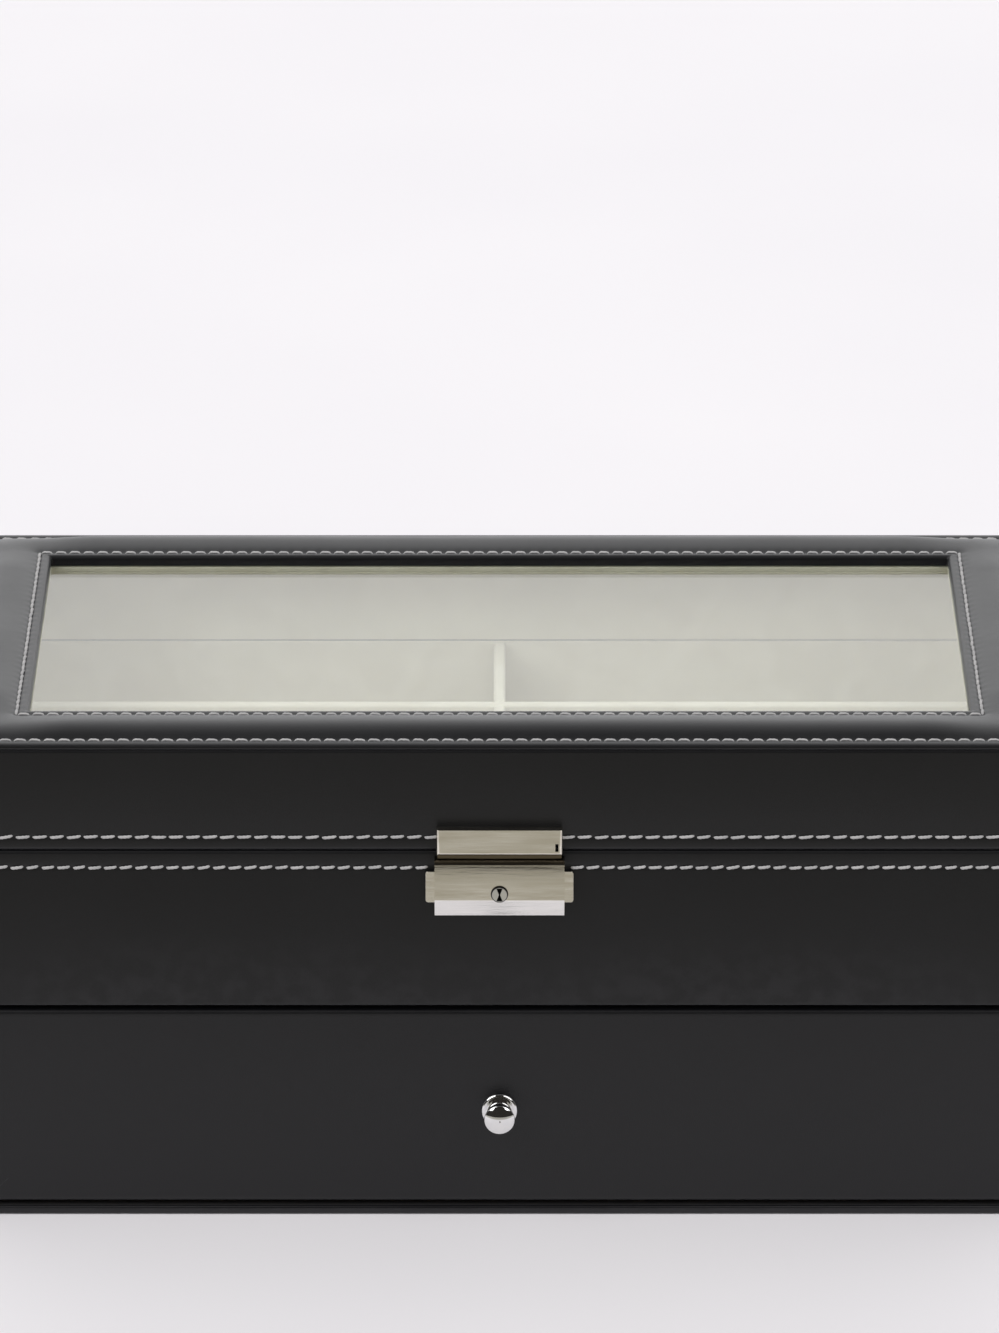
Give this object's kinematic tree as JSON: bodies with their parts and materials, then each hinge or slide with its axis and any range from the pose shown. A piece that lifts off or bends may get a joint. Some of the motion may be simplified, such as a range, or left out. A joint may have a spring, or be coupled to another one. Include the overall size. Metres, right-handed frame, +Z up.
{
  "type": "sunglasses storage box",
  "caption": "Leatherette-wrapped box for sunglasses with a hinged, padded window lid over a divided tray, a divided drawer below with a round knob, and a metal hasp lock.",
  "frame": {"origin": "centre of the underside, on the surface that the box stands on", "axes": "+X to the right seen from the front, +Y from the front with the lock to the back with the hinges, +Z up"},
  "size_m": [0.36, 0.2234, 0.1673],
  "materials": {
    "leatherette": "smooth black leatherette, semi-gloss",
    "board": "fibreboard, plain",
    "base_felt": "black felt",
    "velvet": "cream velvet",
    "foam": "soft foam",
    "glass": "clear float glass",
    "nickel": "satin nickel plate",
    "steel": "bright zinc",
    "chrome": "polished chrome"
  },
  "bodies": {
    "case": {"apron_board": "board", "back_board": "board", "base_board": "board", "base_felt": "base_felt", "case_cover": "leatherette", "hinge_case_leaf_left": "nickel", "hinge_case_leaf_right": "nickel", "hinge_case_screws": "steel", "hinge_pin_left": "nickel", "hinge_pin_right": "nickel", "left_side_board": "board", "lock_back_plate": "nickel", "lock_housing": "nickel", "lock_screws": "steel", "lock_spring": "steel", "right_side_board": "board", "shelf_board": "board", "tray_cross_divider_front": "velvet", "tray_cross_divider_rear": "velvet", "tray_floor_lining": "velvet", "tray_long_divider": "velvet", "tray_wall_lining": "velvet"},
    "lid": {"hasp_plate": "nickel", "hasp_screws": "steel", "hinge_lid_leaf_left": "nickel", "hinge_lid_leaf_right": "nickel", "hinge_lid_screws": "steel", "lid_back_rail": "board", "lid_foam_pad": "foam", "lid_front_rail": "board", "lid_left_rail": "board", "lid_lining": "velvet", "lid_right_rail": "board", "lid_side_cover": "leatherette", "lid_top_board": "board", "lid_top_cover": "leatherette", "window_pane": "glass", "window_retainer": "board"},
    "drawer": {"drawer_back_wall": "board", "drawer_bottom": "board", "drawer_cross_divider_front": "velvet", "drawer_cross_divider_rear": "velvet", "drawer_floor_lining": "velvet", "drawer_front_board": "board", "drawer_front_cover": "leatherette", "drawer_left_side": "board", "drawer_long_divider": "velvet", "drawer_right_side": "board", "drawer_wall_lining": "velvet", "knob": "chrome", "knob_rosette": "chrome", "knob_screw": "steel", "knob_washer": "steel"},
    "latch": {"lock_slider": "nickel"},
    "key": {"key_cylinder": "nickel", "lock_cam": "nickel"}
  },
  "joints": [
    {"name": "lid_hinge", "type": "hinge", "parent": "case", "child": "lid", "pos_m": [0, 0.1052, 0.1275], "axis": [-1, 0, 0], "range_deg": [0, 95]},
    {"name": "drawer_slide", "type": "slide", "parent": "case", "child": "drawer", "axis": [0, -1, 0], "range_m": [0, 0.165]},
    {"name": "latch_slide", "type": "slide", "parent": "case", "child": "latch", "axis": [1, 0, 0], "range_m": [0, 0.0025], "stiffness_N_per_m": 200, "springref_m": -0.002},
    {"name": "key_turn", "type": "hinge", "parent": "case", "child": "key", "pos_m": [0, -0.106, 0.1144], "axis": [0, 1, 0], "range_deg": [0, 90]}
  ]
}
